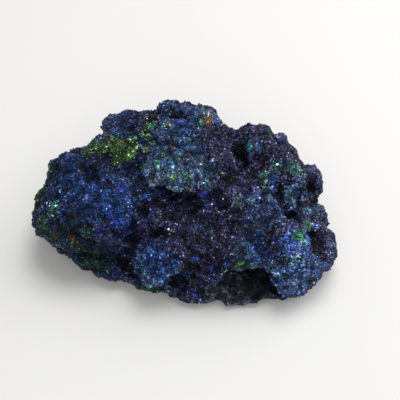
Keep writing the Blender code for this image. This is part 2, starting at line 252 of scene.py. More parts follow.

# Patches on the side that the camera sees. Each name has one or more places in the camera's
# frame (across and down from its upper left corner, in units of 1/400 of its width), with
# radius in millimetres, mix, and the share of the surface that the mix takes. Later ones lie
# over earlier ones.
# The patches of the shade mixes are painted shade in creases, clefts, pockets and under overhangs.
SEEN_PATCHES = dict(
    # Grounds
    boulder=[(88, 205, 24, "navy_druse", 1)],
    basin=[(170, 225, 15, "basin_druse", 1)],
    basin_right=[(220, 225, 11, "basin_druse", 0.9)],
    basin_sheen=[
        (150, 225, 7, "violet_sheen", 0.6), (205, 262, 5, "violet_sheen", 0.5),
        (225, 205, 5, "violet_sheen", 0.6)],
    front=[(205, 262, 7, "basin_druse", 0.8)],
    slope=[
        (230, 158, 11, "violet_druse", 1), (218, 137, 6, "violet_druse", 0.9),
        (225, 182, 6, "violet_druse", 0.8)],
    lobe=[(275, 155, 15, "violet_druse", 0.95)],
    foot=[(300, 272, 11, "mottled_blue", 0.9)],
    slab=[(180, 158, 10, "steel_crust", 0.95)],
    # Left boulder
    boulder_brow=[(100, 190, 12, "blue_druse", 0.55)],
    boulder_right=[(118, 205, 9, "blue_druse", 0.6)],
    boulder_top=[(84, 170, 5, "dusk_navy", 0.6)],
    boulder_nape=[(105, 166, 5, "shade", 0.6)],
    boulder_neck=[(122, 170, 6, "slate", 0.6)],
    boulder_shoulder=[(124, 182, 5, "slate", 0.45)],
    boulder_sheen=[(60, 160, 7, "navy_druse", 0.6)],
    boulder_front=[(100, 238, 8, "navy_druse", 0.6)],
    boulder_violet=[
        (103, 234, 5, "violet_sheen", 0.7), (122, 240, 4.5, "violet_sheen", 0.7),
        (80, 168, 3, "violet_sheen", 0.5)],
    boulder_left_low=[(66, 232, 7, "shade_green", 0.85)],
    boulder_seam=[(134, 238, 3, "shade", 0.8)],
    pale_patch=[
        (52, 211, 3.2, "sea_specks", 0.9), (49, 203, 1.5, "white_specks", 0.9),
        (57, 214, 1.6, "white_specks", 0.8), (62, 218, 1, "cobalt_crust", 0.8)],
    rim=[
        (52, 168, 2.8, "moss", 0.7), (42, 190, 3.2, "moss", 0.95), (37, 206, 3.2, "moss", 0.95),
        (39, 222, 3.2, "moss", 0.9), (47, 234, 3, "moss", 0.8)],
    boulder_rust=[(55, 238, 1.3, "ochre", 0.8), (73, 238, 1.1, "ochre", 0.8)],
    green_left_low=[(86, 236, 2.6, "moss", 0.5)],
    teal_knob=[(60, 249, 2.2, "sea_specks", 0.9), (64, 252, 1.8, "plum", 0.7)],
    skirt=[
        (88, 256, 9, "shade_green", 0.85), (94, 260, 6, "moss", 0.35),
        (114, 270, 4.5, "dusk_navy", 0.6), (84, 250, 2.2, "moss", 0.75),
        (94, 257, 2.2, "moss", 0.7), (88, 265, 1.9, "moss", 0.75), (104, 266, 2, "moss_pale", 0.2),
        (74, 246, 1.8, "ochre", 0.35), (110, 277, 2.2, "plum", 0.5)],
    boulder_royal=[
        (118, 225, 1.8, "royal", 0.7), (131, 232, 1.6, "royal_pale", 0.7),
        (128, 226, 1.3, "royal", 0.7), (127, 200, 1.4, "cobalt_crust", 0.8),
        (99, 222, 1.3, "cobalt_crust", 0.55), (98, 231, 1.6, "plum", 0.6),
        (91, 187, 2, "royal_pale", 0.45), (112, 213, 2.2, "royal_pale", 0.45),
        (84, 181, 1.6, "royal", 0.5), (122, 186, 2.2, "royal", 0.4)],
    boulder_chin=[(121, 245, 2.8, "lavender", 0.5), (121, 251, 1.1, "sea", 0.7)],
    boulder_maroon=[(95, 170, 0.9, "maroon", 0.6), (105, 219, 1, "maroon", 0.5)],
    # Back left block and green cap
    back_block=[
        (113, 124, 7, "slate", 0.95), (103, 130, 4.5, "slate", 0.9),
        (106, 119, 1.8, "slate_green", 0.6)],
    back_violet=[(123, 121, 2.6, "lavender", 0.65)],
    back_hump=[(140, 117, 4, "violet_grey", 0.85)],
    back_shade=[(156, 117, 3.2, "shade", 0.85)],
    back_teal=[(124, 131, 3, "teal_shade", 0.8)],
    cap=[
        (92, 148, 3.6, "malachite", 0.85), (88, 144, 2.2, "moss_pale", 0.6),
        (105, 144, 3.2, "malachite", 0.85), (117, 150, 4.4, "malachite", 0.95),
        (130, 149, 4, "malachite", 0.95), (115, 158, 2.6, "malachite", 0.75),
        (128, 157, 2.2, "malachite_pale", 0.75)],
    cap_flecks=[
        (113, 144, 1.6, "olive", 0.85), (123, 141, 1.9, "olive", 0.75),
        (99, 148, 1.3, "olive", 0.5), (125, 152, 1.6, "deep_malachite", 0.85),
        (97, 152, 1.8, "deep_malachite", 0.8), (105, 150, 1.3, "malachite_pale", 0.8),
        (133, 140, 1.6, "malachite_pale", 0.85), (135, 147, 1.2, "malachite_pale", 0.85),
        (97, 147, 1.1, "malachite_pale", 0.75), (111, 138, 1.1, "malachite_pale", 0.7),
        (122, 147, 1.4, "sea", 0.6)],
    cap_arm=[
        (143, 134, 1.4, "malachite_pale", 0.75), (148, 137, 1.4, "malachite_pale", 0.75),
        (147, 127, 1.7, "malachite", 0.7), (154, 123, 1.3, "mint_green", 0.5),
        (158, 128, 1.3, "moss_pale", 0.6), (152, 144, 1.4, "mint_green", 0.75),
        (145, 149, 1.4, "malachite_pale", 0.75), (157, 144, 1.2, "malachite", 0.7)],
    cap_drip=[(141, 168, 1.3, "moss_pale", 0.85)],
    cap_foot_left=[(86, 156, 1.4, "moss", 0.6)],
    cap_left_dull=[(89, 147, 2.4, "moss", 0.6)],
    neck_shade=[(151, 157, 2.2, "shade", 0.75)],
    seam_shade=[(143, 178, 2.2, "shade", 0.8)],
    # Slab
    slab_sides=[
        (160, 175, 7, "steel_crust", 0.9), (201, 170, 6, "steel_crust", 0.85),
        (193, 152, 5, "slab_blue", 0.7), (172, 138, 7, "slab_blue", 0.85)],
    slab_corner=[(156, 178, 3.8, "lavender_pale", 0.75)],
    slab_edge=[
        (155, 184, 1.8, "pale_edge", 0.6), (174, 186, 2.4, "pale_edge", 0.5),
        (186, 187, 2, "sky", 0.55)],
    slab_streak=[
        (185, 140, 1.6, "sky", 0.6), (191, 147, 1.8, "sky", 0.5), (196, 155, 1.8, "lavender", 0.6),
        (200, 163, 1.5, "pale_edge", 0.85), (206, 160, 1.8, "lavender", 0.6),
        (176, 160, 3, "teal_shade", 0.6), (186, 170, 2.4, "teal_shade", 0.55),
        (206, 172, 2.6, "teal_shade", 0.35), (166, 150, 2.4, "teal_shade", 0.5),
        (170, 166, 1.6, "sky_grey", 0.6), (196, 180, 2, "lavender", 0.5),
        (208, 182, 1.8, "sky_grey", 0.55), (178, 152, 1.4, "sky", 0.5)],
    slab_flecks=[
        (157, 165, 1.2, "mint", 0.85), (172, 177, 1.4, "malachite_pale", 0.8),
        (165, 156, 1, "malachite_pale", 0.5), (187, 177, 1.2, "green", 0.85),
        (190, 188, 1.1, "malachite_pale", 0.8), (190, 168, 1.3, "moss", 0.5),
        (180, 146, 1.1, "royal", 0.8), (166, 141, 1.8, "lavender", 0.5),
        (173, 148, 0.6, "rust_speck", 0.7), (158, 145, 0.5, "rust_speck", 0.6)],
    slab_top_flecks=[
        (183, 122, 3.2, "royal_pale", 0.7), (188, 130, 2.2, "royal_pale", 0.45),
        (171, 126, 0.6, "rust_speck", 0.8), (163, 125, 1.4, "mint_green", 0.25)],
    slope_edge=[
        (216, 150, 3.8, "violet_druse", 0.9), (208, 137, 3, "violet_druse", 0.85),
        (224, 170, 3.2, "violet_druse", 0.85)],
    slope_shade=[(227, 132, 2.2, "shade", 0.6)],
    # Top knob and its ridge
    knob=[
        (168, 106, 5, "steel_slate", 0.9), (172, 115, 2.8, "shade_green", 0.5),
        (186, 106, 3.5, "slate", 0.8)],
    ridge=[(198, 113, 4, "steel_slate", 0.8)],
    ridge_low=[(196, 123, 2, "moss", 0.6)],
    ridge_mint=[(202, 123, 1.1, "mint_green", 0.9)],
    ridge_sky=[(198, 112, 1.6, "sky", 0.7)],
    ridge_rust=[(208, 118, 2, "rust", 0.85), (210, 123, 1.6, "rust", 0.8)],
    ridge_white=[
        (205, 112, 1.6, "pale_edge", 0.85), (214, 115, 1.6, "pale_edge", 0.7),
        (218, 120, 1.5, "sky", 0.8)],
    ridge_end=[(217, 119, 2.2, "steel_slate", 0.9)],
    ridge_shade=[(219, 128, 2.2, "shade", 0.7)],
    # Slope between the slab and the right lobe
    slope_olive=[(231, 180, 1.5, "olive_shade", 0.7), (222, 174, 1, "moss_pale", 0.5)],
    # Right lobe
    lobe_top=[(247, 130, 5, "violet_grey", 0.7)],
    lobe_edge=[(282, 134, 2, "lavender_pale", 0.85)],
    lobe_edge_violet=[(279, 144, 1.8, "lavender", 0.5)],
    lobe_green=[(268, 132, 2, "shade_green", 0.7)],
    cleft=[(241, 152, 2.6, "shade", 0.9), (247, 163, 2, "shade", 0.75)],
    block=[
        (251, 144, 3.5, "block_blue", 1), (250, 145, 1.9, "green", 0.9),
        (255, 142, 2.4, "lavender", 0.75), (254, 153, 1.8, "lavender", 0.6)],
    lobe_shade=[
        (265, 158, 2.6, "shade", 0.45), (252, 134, 2.2, "shade", 0.5),
        (294, 183, 1.8, "shade", 0.6)],
    lobe_sea=[(275, 170, 2.6, "sea_specks", 0.65), (264, 176, 1.4, "green", 0.5)],
    lobe_flecks=[
        (266, 180, 1.2, "mint", 0.95), (264, 187, 1.2, "deep_malachite", 0.8),
        (274, 179, 1.9, "royal", 0.75), (273, 190, 1.4, "cobalt_crust", 0.7),
        (270, 196, 1, "mint_green", 0.8)],
    lobe_sea_right=[
        (297, 165, 1.7, "green", 0.6), (300, 169, 3, "sea_specks", 0.6),
        (290, 168, 2.4, "sea", 0.7)],
    lobe_olive=[(307, 173, 1.9, "mint_green", 0.8), (310, 172, 1, "malachite_pale", 0.8)],
    lobe_violet=[(300, 182, 1.9, "lavender", 0.7)],
    lobe_sky=[(291, 192, 2.8, "sky", 0.95), (292, 200, 1.9, "sky", 0.95)],
    lobe_teal=[(301, 191, 2.2, "teal_shade", 0.7)],
    lobe_crevice=[(282, 188, 2.2, "shade", 0.75)],
    right_knob=[
        (317, 178, 5, "violet_druse", 0.9), (315, 166, 2.2, "slate", 0.8),
        (322, 176, 1.5, "lavender_pale", 0.6)],
    knob_crease=[(309, 185, 1.8, "shade", 0.8)],
    # Middle right
    middle_right=[(266, 212, 8, "middle_blue", 0.95), (262, 200, 5, "middle_blue", 0.5)],
    lobe_flecks_over=[(273, 190, 1.3, "cobalt_crust", 0.6), (270, 196, 0.9, "mint", 0.8)],
    middle_spots=[
        (237, 200, 2.6, "grey_crust", 0.7), (239, 201, 1, "malachite_pale", 0.8),
        (235, 195, 1.8, "pale_edge", 0.5), (240, 204, 0.6, "rust_speck", 0.8)],
    middle_flecks=[
        (254, 227, 1.3, "deep_malachite", 0.7), (258, 231, 0.9, "malachite_pale", 0.7),
        (262, 225, 0.5, "rust_speck", 0.7)],
    middle_low=[
        (238, 242, 2.4, "lavender", 0.7), (249, 243, 2.4, "boss_blue", 0.7),
        (260, 254, 3.8, "boss_blue", 0.75), (268, 264, 1.8, "sky", 0.5),
        (278, 262, 2.2, "violet_druse", 0.7)],
    fissure=[(291, 218, 2.4, "shade", 0.9), (279, 203, 2.2, "shade", 0.75)],
    plate=[(317, 210, 3, "slate_green", 0.85), (325, 221, 2, "plum", 0.7)],
    tip=[(309, 211, 1.7, "sky", 0.85), (306, 217, 1.6, "lavender", 0.7)],
    # Right foot
    foot_right=[(315, 268, 4.5, "mottled_lavender", 0.8)],
    foot_low=[(292, 288, 6, "mottled_blue", 0.9)],
    cobalt=[
        (297, 243, 5, "cobalt_crust", 0.95), (286, 243, 3, "cobalt_crust", 0.85),
        (294, 233, 2.4, "cobalt_pale", 0.6), (300, 248, 2.2, "cobalt_pale", 0.6)],
    foot_green=[
        (301, 235, 2.3, "green", 0.85), (304, 241, 1.3, "mint_green", 0.8),
        (308, 225, 2.2, "green", 0.8)],
    foot_blue=[(316, 224, 1.5, "cobalt_crust", 0.8)],
    foot_spark=[
        (300, 256, 2.4, "pale_edge", 0.45), (290, 259, 2.2, "mint", 0.35),
        (296, 285, 2, "pale_edge", 0.45), (305, 264, 2, "pale_edge", 0.35)],
    foot_dark=[(286, 277, 1.6, "moss", 0.6), (318, 279, 1.4, "moss", 0.7)],
    foot_edge=[(296, 298, 1.8, "moss_pale", 0.5)],
    foot_tip=[(283, 298, 1.2, "sky", 0.85)],
    foot_pale=[(277, 276, 1.3, "pale_edge", 0.5)],
    pocket=[(317, 246, 3.4, "shade_violet", 0.95), (324, 258, 1.5, "shade", 0.8)],
    toe=[(330, 245, 2.2, "lavender", 0.8), (331, 256, 2, "sky_grey", 0.7)],
    # Basin and boss
    basin_shade=[
        (148, 211, 1.9, "shade", 0.9), (165, 234, 1.4, "shade", 0.6), (190, 208, 3, "shade", 0.55),
        (234, 212, 2.6, "shade", 0.6), (235, 224, 1.4, "shade", 0.6), (188, 268, 2, "shade", 0.7),
        (206, 240, 2, "shade", 0.5)],
    basin_light=[
        (155, 226, 2.4, "lavender_grey", 0.35), (167, 216, 2.2, "lavender_grey", 0.25),
        (221, 228, 2.2, "lavender_grey", 0.25)],
    basin_slate=[(204, 230, 3, "slate_teal", 0.6)],
    basin_olive=[(238, 251, 2, "olive_shade", 0.4)],
    recess=[(172, 195, 2.6, "shade", 0.7), (190, 198, 1.7, "shade", 0.5)],
    basin_royal=[
        (152, 192, 1.7, "cobalt_crust", 0.7), (147, 197, 1.2, "royal_pale", 0.9),
        (203, 197, 1.8, "royal", 0.9), (206, 205, 1.3, "royal_pale", 0.9),
        (210, 211, 0.8, "royal", 0.8)],
    boss=[(158, 266, 7.5, "boss_blue", 0.95)],
    boss_top=[(153, 256, 3, "royal_pale", 0.4), (171, 254, 2.4, "lavender_grey", 0.6)],
    boss_arc=[
        (143, 268, 0.7, "pale_arc", 0.95), (145, 273, 0.7, "pale_arc", 0.95),
        (149, 277, 0.7, "pale_arc", 0.95), (152, 279, 0.6, "pale_arc", 0.9),
        (149, 268, 0.6, "pale_arc", 0.9), (147, 264, 0.6, "pale_arc", 0.8)],
    boss_lights=[
        (160, 280, 1.9, "royal_sky", 0.8), (170, 276, 1.6, "sky", 0.55),
        (174, 272, 2.4, "royal_sky", 0.7)],
    boss_left=[(141, 265, 2, "teal_shade", 0.8)],
    boss_under=[(173, 284, 1.8, "shade", 0.9)],
    boss_gap=[(124, 264, 2.8, "shade", 0.95), (132, 276, 1.6, "shade", 0.8)],
    front_moss=[
        (141, 286, 2.3, "moss", 0.9), (144, 288, 1.6, "moss_pale", 0.5),
        (156, 291, 2.3, "moss", 0.85), (171, 295, 1.9, "moss", 0.8), (186, 298, 1.6, "moss", 0.5)],
    front_shade=[(190, 275, 4.5, "shade_violet", 0.6)],
    # Round the cave
    front_royal=[
        (195, 259, 1.4, "royal", 0.7), (211, 268, 1.2, "royal", 0.65), (203, 283, 1, "royal", 0.7),
        (195, 293, 1.3, "royal", 0.8), (184, 292, 1.6, "plum", 0.7)],
    brow_royal=[(225, 264, 1.9, "royal", 0.8)],
    brow_mint=[(226, 271, 0.9, "mint", 0.85)],
    brow_slate=[(237, 257, 2.6, "slate_teal", 0.6)],
    brow_green=[(240, 267, 1.9, "moss_pale", 0.75)],
    brow_moss=[
        (252, 266, 1.9, "moss_pale", 0.6), (264, 273, 1.8, "moss", 0.8),
        (271, 282, 1.6, "moss", 0.6), (232, 269, 1.6, "moss", 0.7)],
    brow_dark=[(216, 253, 2.2, "shade", 0.7)],
    cave=[(254, 286, 8, "cave", 1)],
    cave_floor=[(226, 294, 8, "cave_floor", 1)],
    cave_lip=[(246, 304, 1, "royal_pale", 0.4)],
    front_low=[(208, 300, 3, "cave_floor", 0.8)],
    lip=[
        (224, 303, 3, "cave_floor", 0.92), (243, 301, 3, "cave_floor", 0.9),
        (262, 298, 3, "cave", 0.95), (275, 300, 2.2, "cave", 0.9)],
)

# Patches on the sides that the camera doesn't see: centre and radius in millimetres.
HIDDEN_PATCHES = dict(
    left_end=((-52, 0, 14), 9, "moss", 0.7),
    left_back=((-42, 20, 14), 12, "navy_druse", 0.8),
    back_block_rear=((-24, 34, 18), 11, "slate", 0.8),
    knob_rear=((0, 34, 26), 8, "steel_slate", 0.7),
    back_green=((8, 35, 14), 6, "malachite", 0.6),
    back_teal=((22, 28, 16), 8, "slate_teal", 0.7),
    right_rear=((42, 20, 14), 9, "navy_druse", 0.7),
    right_rear_green=((47, 10, 8), 5, "moss", 0.6),
    toe_rear=((52, -6, 8), 5, "lavender_grey", 0.6),
)


def length(name, description, millimetres, **limits):
    """A length for the panel."""
    return FloatProperty(
        name=name, description=description, default=millimetres * MM, unit="LENGTH", **limits)


class AzuriteSizes(bpy.types.PropertyGroup):
    """Sizes that a user would change."""

    skin_cell: length("Skin cell", "Size of the faces of the skin", 0.56, min=0.4 * MM)
    skin_inset: length("Skin inset", "How far the skin lies in the solid, for crystals", 0.4)
    nodule: length("Nodule", "Distance between the nodules of the skin", 3.9)
    nodule_rise: length("Nodule rise", "How far the nodules stand out", 1.2)
    bead: length("Bead", "Distance between the small beads on the nodules", 1.9)
    bead_rise: length("Bead rise", "How far the beads stand out", 0.7)
    crystal_length: length("Crystal length", "Longest side of a common azurite crystal", 0.64)
    crystal_height: length("Crystal height", "How far a common crystal stands out", 0.31)
    crystal_lean: FloatProperty(
        name="Crystal lean", description="Most that a crystal leans away from the skin's normal",
        default=math.radians(36), subtype="ANGLE")
    grain: length("Grain", "Diameter of a common malachite grain", 0.7)
    druse_pieces: IntProperty(
        name="Druse pieces", description="How many meshes the crystals are shared between",
        default=4, min=1)
    seed: IntProperty(name="Seed", description="Picks the strewing of the crystals", default=7)


def colour(name, description, value):
    """A colour swatch for the panel."""
    return FloatVectorProperty(
        name=name, description=description, subtype="COLOR", size=3, min=0, max=1, default=value)


class AzuriteColours(bpy.types.PropertyGroup):
    """Colours of the minerals before any light falls on them, but for the painted glints and the
    painted shade of black blue.
    """

    night_violet: colour("Night violet", "Thick druse", (0.0045, 0.005, 0.018))
    dusk_violet: colour("Dusk violet", "Druse", (0.018, 0.02, 0.066))
    grey_violet: colour("Grey violet", "Dull crystals in the druse", (0.064, 0.07, 0.165))
    # Painted glints: pale crystals strewn through the druse and crusts in place of light glinting
    # off crystal faces.
    painted_glint: colour("Frost", "Few pale crystals", (0.3, 0.32, 0.46))
    black_blue: colour("Black blue", "Shaded azurite", (0.004, 0.006, 0.012))
    deep_navy: colour("Deep navy", "Thick azurite", (0.003, 0.01, 0.038))
    navy: colour("Navy", "Azurite", (0.006, 0.026, 0.105))
    blue: colour("Blue", "Azurite in thin crystals", (0.014, 0.06, 0.23))
    steel_blue: colour("Steel blue", "Thin azurite over rock", (0.036, 0.1, 0.265))
    slate_blue: colour("Slate blue", "Dull flat azurite", (0.04, 0.062, 0.15))
    royal_blue: colour("Royal blue", "Bright azurite", (0.018, 0.036, 0.3))
    cobalt: colour("Cobalt", "Powdery azurite", (0.056, 0.12, 0.48))
    lavender_blue: colour("Lavender blue", "Thin violet azurite", (0.085, 0.1, 0.25))
    plum: colour("Plum", "Deep violet azurite", (0.025, 0.012, 0.11))
    deep_teal: colour("Deep teal", "Azurite turning to malachite", (0.006, 0.034, 0.056))
    grey_teal: colour("Grey teal", "Weathered crust", (0.07, 0.16, 0.19))
    pale_aqua: colour("Pale aqua", "Chalky blue-green", (0.23, 0.44, 0.43))
    pale_sky: colour("Pale sky", "Chalky light blue", (0.16, 0.31, 0.52))
    deep_green: colour("Deep green", "Thick malachite", (0.008, 0.026, 0.012))
    leaf_green: colour("Leaf green", "Malachite", (0.032, 0.12, 0.032))
    olive: colour("Olive", "Malachite with iron", (0.075, 0.062, 0.018))
    yellow_green: colour("Yellow green", "Thin malachite", (0.125, 0.24, 0.065))
    sea_green: colour("Sea green", "Bright malachite", (0.02, 0.22, 0.12))
    pale_green: colour("Pale green", "Chalky malachite", (0.36, 0.54, 0.33))
    white_crust: colour("White crust", "Chalk", (0.6, 0.69, 0.7))
    rust_brown: colour("Rust brown", "Iron oxide", (0.12, 0.05, 0.016))
    rust_orange: colour("Rust orange", "Iron oxide in the light", (0.34, 0.16, 0.03))
    ochre: colour("Ochre", "Iron oxide with malachite", (0.15, 0.11, 0.02))
    pale_tan: colour("Pale tan", "Chalk stained by iron", (0.52, 0.43, 0.33))
    maroon: colour("Maroon", "Thin iron oxide over azurite", (0.04, 0.006, 0.014))
    soot: colour("Soot", "The cave's lining", (0.018, 0.023, 0.034))
    ash: colour("Ash", "Dust on the cave's floor", (0.088, 0.102, 0.13))


# ---- noise


def lattice(cells, seed):
    """A repeatable random number from 0 to 1 for each row of whole numbers in cells: the
    numbers and the seed, each times a factor, joined by exclusive or and then scrambled."""
    key = cells.astype(np.int64).astype(np.uint64)
    mixed = np.uint64(seed * SEED_FACTOR)
    for axis, factor in enumerate(CELL_FACTORS):
        mixed = mixed ^ key[..., axis] * np.uint64(factor)
    for shift, factor in SCRAMBLES:
        mixed = (mixed ^ (mixed >> np.uint64(shift))) * np.uint64(factor)
    mixed = mixed ^ (mixed >> np.uint64(LAST_SHIFT))
    return (mixed & np.uint64(LOW_BITS)).astype(float) / LOW_BITS


def swells(points, wave, seed):
    """Smooth noise from -1 to 1: random values on a lattice of the given wave, blended by
    3t^2 - 2t^3 along each axis."""
    scaled = points / wave
    corner = np.floor(scaled)
    part = scaled - corner
    ease = part * part * (3 - 2 * part)
    total = np.zeros(len(points))
    for step in np.ndindex(2, 2, 2):
        share = np.prod(np.where(step, ease, 1 - ease), axis=1)
        total += share * lattice(corner + step, seed)
    return 2 * total - 1


def layered(points, waves, seed, level=0.0):
    """The level plus, for each wave, its swells times its share."""
    for layer, (wave, share) in enumerate(waves):
        level = level + share * swells(points, wave, seed + layer)
    return level


def nearest_cell(points, spacing, seed):
    """Cellular noise: one random centre in each cell of a lattice. Returns, for each point,
    the distance to the nearest centre, in spacings, and that centre's lot from 0 to 1."""
    scaled = points / spacing
    home = np.floor(scaled)
    first = np.full(len(points), np.inf)
    lot = np.zeros(len(points))
    for step in np.ndindex(3, 3, 3):
        cell = home + step - 1
        centre = cell + np.stack([lattice(cell, seed + k) for k in range(3)], axis=1)
        distance = np.linalg.norm(scaled - centre, axis=1)
        closer = distance < first
        lot = np.where(closer, lattice(cell, seed + 3), lot)
        first = np.where(closer, distance, first)
    return first, lot


def domes(points, spacing, seed):
    """Round nodules: 1 - (DOME_WIDTH x distance)^2 at each, between a crease of 0 and a top
    of 1, with tops of uneven height. DOME_LEVEL is taken off, so that some stays sunk."""
    distance, lot = nearest_cell(points, spacing, seed)
    return np.clip(1 - (DOME_WIDTH * distance) ** 2, 0, 1) * (0.5 + 0.5 * lot) - DOME_LEVEL


# ---- meshes


def read(items, kind, width=1, dtype=np.float32):
    """What each item of a mesh's collection holds of a kind, as rows of the given width."""
    values = np.empty(len(items) * width, dtype)
    items.foreach_get(kind, values)
    return values.reshape(-1, width)


def vectors(items, kind):
    return read(items, kind, 3).astype(float)


def place_vertices(mesh, points):
    """Moves each vertex to its row of points."""
    mesh.vertices.foreach_set("co", points.astype(np.float32).ravel())
    mesh.update()


def in_box(points):
    """The points, with those outside the solid's box moved onto its sides."""
    low, high = (np.array(corner) for corner in CAD_BOX)
    return np.clip(points, low, high)


def paint(mesh, tints):
    """Stores a colour at each vertex, for the material to read."""
    layer = mesh.color_attributes.new("tint", "FLOAT_COLOR", "POINT")
    full = np.ones((len(tints), 4), np.float32)
    full[:, :3] = tints
    layer.data.foreach_set("color", full.ravel())


def copies_mesh(name, copies, triangles, tints):
    """One mesh of many copies of a small form, each in its own colour: copies holds the points
    of each, and the corners in triangles shift by a copy's number of points at each copy."""
    count, size = copies.shape[:2]
    corners = (triangles[None] + size * np.arange(count)[:, None, None]).ravel()
    mesh = bpy.data.meshes.new(name)
    mesh.vertices.add(count * size)
    mesh.loops.add(len(corners))
    mesh.polygons.add(len(corners) // 3)
    mesh.vertices.foreach_set("co", in_box(copies).astype(np.float32).ravel())
    mesh.loops.foreach_set("vertex_index", corners.astype(np.int32))
    mesh.polygons.foreach_set("loop_start", np.arange(0, len(corners), 3, dtype=np.int32))
    mesh.update(calc_edges=True)
    paint(mesh, np.repeat(tints, size, axis=0))
    return mesh


def new_object(name, data):
    made = bpy.data.objects.new(name, data)
    bpy.context.scene.collection.objects.link(made)
    return made


def add_piece(name, mesh, material):
    """Puts a finished mesh into the scene as a piece that rides with the solid."""
    mesh.materials.clear()
    mesh.materials.append(material)
    piece = new_object(name, mesh)
    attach(piece, "root")
    return piece


def smoothed(mesh, points, rounds):
    """Each round moves every vertex to the mean of its neighbours along the edges."""
    a, b = read(mesh.edges, "vertices", 2, np.int32).T
    count = np.bincount(a, minlength=len(points)) + np.bincount(b, minlength=len(points))
    for _ in range(rounds):
        total = np.empty_like(points)
        for axis in range(points.shape[1]):
            total[:, axis] = np.bincount(a, points[b, axis], len(points))
            total[:, axis] += np.bincount(b, points[a, axis], len(points))
        points = total / count[:, None]
    return points


def side_axes(axis, turn):
    """Two directions square to the axis and to each other, turned about it by an angle."""
    steep = np.abs(axis[:, 2:]) > STEEP
    helper = np.where(steep, [[1.0, 0.0, 0.0]], [[0.0, 0.0, 1.0]])
    u = np.cross(axis, helper)
    u /= np.linalg.norm(u, axis=1)[:, None]
    v = np.cross(axis, u)
    c = np.cos(turn)[:, None]
    s = np.sin(turn)[:, None]
    return c * u + s * v, c * v - s * u


def any_turn(count, rng):
    return rng.uniform(0, 2 * math.pi, count)


def leaning(out, most, rng):
    """The normals, each tipped by up to the given angle in a random direction."""
    side, _ = side_axes(out, any_turn(len(out), rng))
    tip = most * np.sqrt(rng.random(len(out)))
    return out * np.cos(tip)[:, None] + side * np.sin(tip)[:, None]


# ---- minerals


def patches():
    """Every patch as its centre and radius in millimetres, its mix and its share.

    A patch of SEEN_PATCHES lies where the camera's ray through its place meets the solid, or,
    if the ray just misses, on the nearest point of the solid to the ray.
    """
    bm = bmesh.new()
    bm.from_mesh(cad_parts[SOLID].data)
    solid = BVHTree.FromBMesh(bm)
    bm.free()
    eye = camera_place()
    back = (eye - AIM).normalized()
    up = Vector((0, back.z, -back.y))
    found = list(HIDDEN_PATCHES.values())
    for across, down, radius, mix, share in chain(*SEEN_PATCHES.values()):
        sideways = (across - FRAME_UNITS / 2) / FRAME_UNITS * SENSOR
        upwards = (FRAME_UNITS / 2 - down) / FRAME_UNITS * SENSOR
        ray = (Vector((sideways, 0, 0)) + up * upwards - back * LENS).normalized()
        place, *_ = solid.ray_cast(eye, ray)
        if place is None:
            place, *_ = solid.find_nearest(eye + ray * (AIM - eye).dot(ray))
        found.append((np.array(place) / MM, radius, mix, share))
    return found


def mineral_mix(mm, rng, seed):
    """The number of the mix at each point.

    A ground mix is picked by slow noise. Each patch then takes a point if its share, which
    falls to nothing along PATCH_FADE, beats a random number, with the radius made ragged by
    noise.
    """
    names = list(MIXES)
    slow = layered(mm, GROUND_WAVES, seed)
    mix = np.full(len(mm), names.index(GROUND))
    for name, level in GROUND_ABOVE.items():
        mix[slow > level] = names.index(name)
    for name, level in GROUND_BELOW.items():
        mix[slow < level] = names.index(name)
    specks = swells(mm, SPECK_WAVE, seed + 2)
    mix[(specks > SPECK_LEVEL) & (slow < SPECK_GROUND)] = names.index(SPECK)
    ragged = layered(mm, RAGGED_WAVES, seed + 3, level=1.0)
    full, gone = PATCH_FADE
    for centre, radius, name, share in patches():
        near = np.linalg.norm(mm - centre, axis=1) / (radius * ragged)
        chance = share * np.clip((gone - near) / (gone - full), 0, 1)
        mix[chance > rng.random(len(mm))] = names.index(name)
    return mix


def of_mixes(mix, chosen):
    """Whether each point's mix is one of the chosen names."""
    names = list(MIXES)
    return np.isin(mix, [names.index(name) for name in chosen])


def knobbliness(mesh, mm, seed):
    """How high the nodules stand at each point: 1 in the druse, less on calm ground and
    least in the cave, with soft borders between them."""
    mix = mineral_mix(mm, np.random.default_rng(seed), seed)
    share = np.where(of_mixes(mix, CALM), CALM_RISE, 1.0)
    share[of_mixes(mix, SMOOTH)] = SMOOTH_RISE
    return smoothed(mesh, share[:, None], BORDER_ROUNDS)[:, 0]


def mineral_tints(points, hollow, rng, seed):
    """The colour of the mineral at each point, and the number of its mix.

    Within a mix the colour goes by the rank of a blend of noise and a random number. Each
    point is lighter or darker by chance; painted shade darkens hollows and painted light
    lifts humps.
    """
    mm = points / MM
    mix = mineral_mix(mm, rng, seed)
    clumps = np.clip(0.5 + CLUMP_GAIN * swells(mm, CLUMP_WAVE, seed + 5), 0, 1)
    pick = CLUMP_SHARE * clumps + (1 - CLUMP_SHARE) * rng.random(len(mm))
    pick = pick.argsort().argsort() / len(pick)
    colours = bpy.context.scene.azurite_colours
    tints = np.zeros((len(mm), 3))
    for index, hues in enumerate(MIXES.values()):
        start = 0.0
        for hue, share in hues.items():
            chosen = (mix == index) & (pick >= start)
            tints[chosen] = getattr(colours, hue)
            start += share
    tints *= np.exp(TINT_SPREAD * rng.standard_normal(len(mm)) + TINT_LIFT)[:, None]
    # Painted shade in hollows and creases, painted light on open humps.
    tints *= np.clip(OPEN_LIGHT - HOLLOW_SHADE * hollow, *SHADE_LIMITS)[:, None]
    return tints, mix


def new_material(name):
    """A material, with its shader node."""
    material = bpy.data.materials.new(name)
    material.use_nodes = True
    return material, material.node_tree.nodes["Principled BSDF"]


def fill(node, values):
    """Sets the named inputs of a node."""
    for name, value in values.items():
        node.inputs[name].default_value = value


